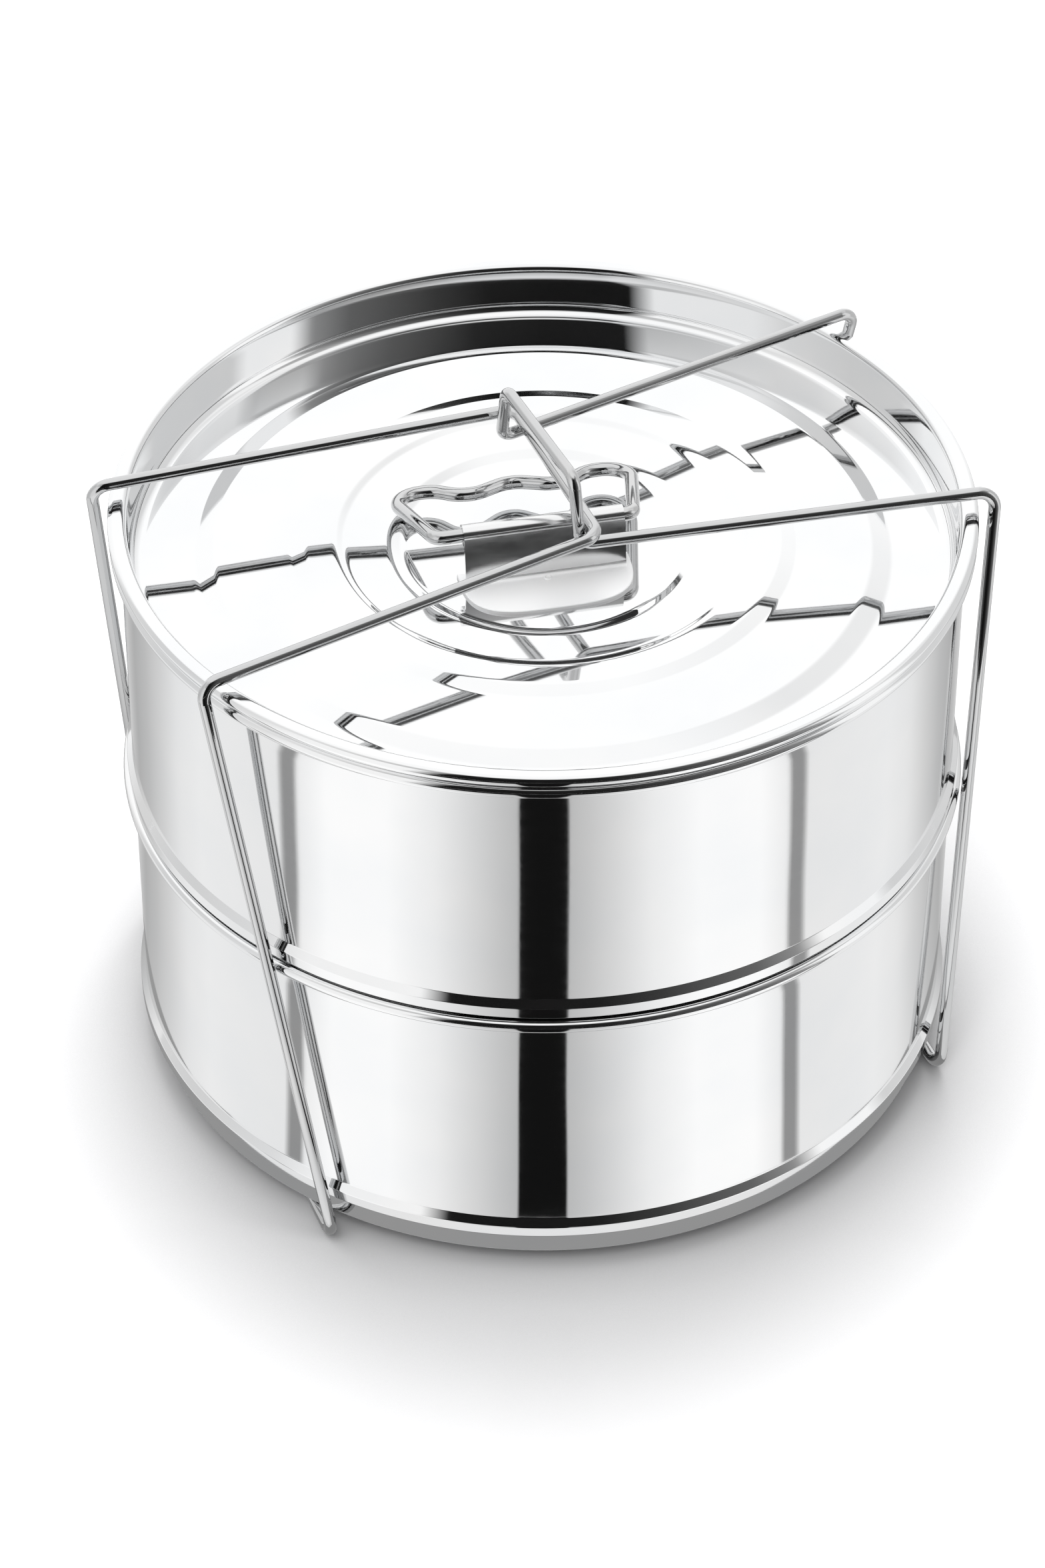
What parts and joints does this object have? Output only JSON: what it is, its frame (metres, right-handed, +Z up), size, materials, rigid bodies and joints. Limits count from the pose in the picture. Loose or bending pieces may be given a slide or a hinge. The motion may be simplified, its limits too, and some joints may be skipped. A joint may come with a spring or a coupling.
{
  "type": "stacking steamer insert pan set",
  "caption": "Stacking round steel pans with a recessed lid, a flip-up lid handle and a hinged wire carrying sling with a raised bail.",
  "frame": {"origin": "on the table, under the axis of the pans", "axes": "+Z up along the axis of the pans; X along the sling, from its left loop (-X) to its right loop (+X); the lid handle hinges on the -Y side of its grip"},
  "size_m": [0.1992, 0.1992, 0.1707],
  "materials": {
    "pan_steel": "mirror-polished stainless steel sheet",
    "lid_steel": "mirror-polished stainless steel sheet",
    "bracket_steel": "polished stainless steel strip",
    "wire_steel": "bright polished stainless steel wire"
  },
  "bodies": {
    "base": {"lower_pan": "pan_steel", "base_tie_front": "wire_steel", "base_tie_back": "wire_steel"},
    "upper_tier": {"upper_pan": "pan_steel"},
    "lid": {"lid": "lid_steel", "handle_bracket": "bracket_steel"},
    "grip": {"lid_handle": "wire_steel"},
    "left_sling": {"left_loop": "wire_steel", "left_latch_end": "wire_steel"},
    "right_sling": {"right_loop": "wire_steel"}
  },
  "joints": [
    {"name": "left_swing", "type": "hinge", "parent": "base", "child": "left_sling", "pos_m": [-0.0783, 0, 0.00145], "axis": [0, -1, 0], "range_deg": [0, 83], "deforming": ["left_latch_end"]},
    {"name": "right_swing", "type": "hinge", "parent": "base", "child": "right_sling", "pos_m": [0.0783, 0, 0.00145], "axis": [0, 1, 0], "range_deg": [0, 83.1]},
    {"name": "upper_pan_lift", "type": "slide", "parent": "base", "child": "upper_tier", "axis": [0, 0, 1], "range_m": [0, 0.00647]},
    {"name": "lid_lift", "type": "slide", "parent": "upper_tier", "child": "lid", "axis": [0, 0, 1], "range_m": [0, 0.00952]},
    {"name": "handle_flip", "type": "hinge", "parent": "lid", "child": "grip", "pos_m": [-0.00136, -0.00839, 0.1494], "axis": [0.9871, -0.1599, 0], "range_deg": [0, 105.1]}
  ],
  "couplings": [
    {"joint": "right_swing", "follows": "left_swing", "ratio": 1},
    {"joint": "upper_pan_lift", "follows": "left_swing", "m_per_rad": 0.0044},
    {"joint": "lid_lift", "follows": "left_swing", "m_per_rad": 0.0065},
    {"joint": "handle_flip", "follows": "left_swing", "ratio": 1.265}
  ]
}
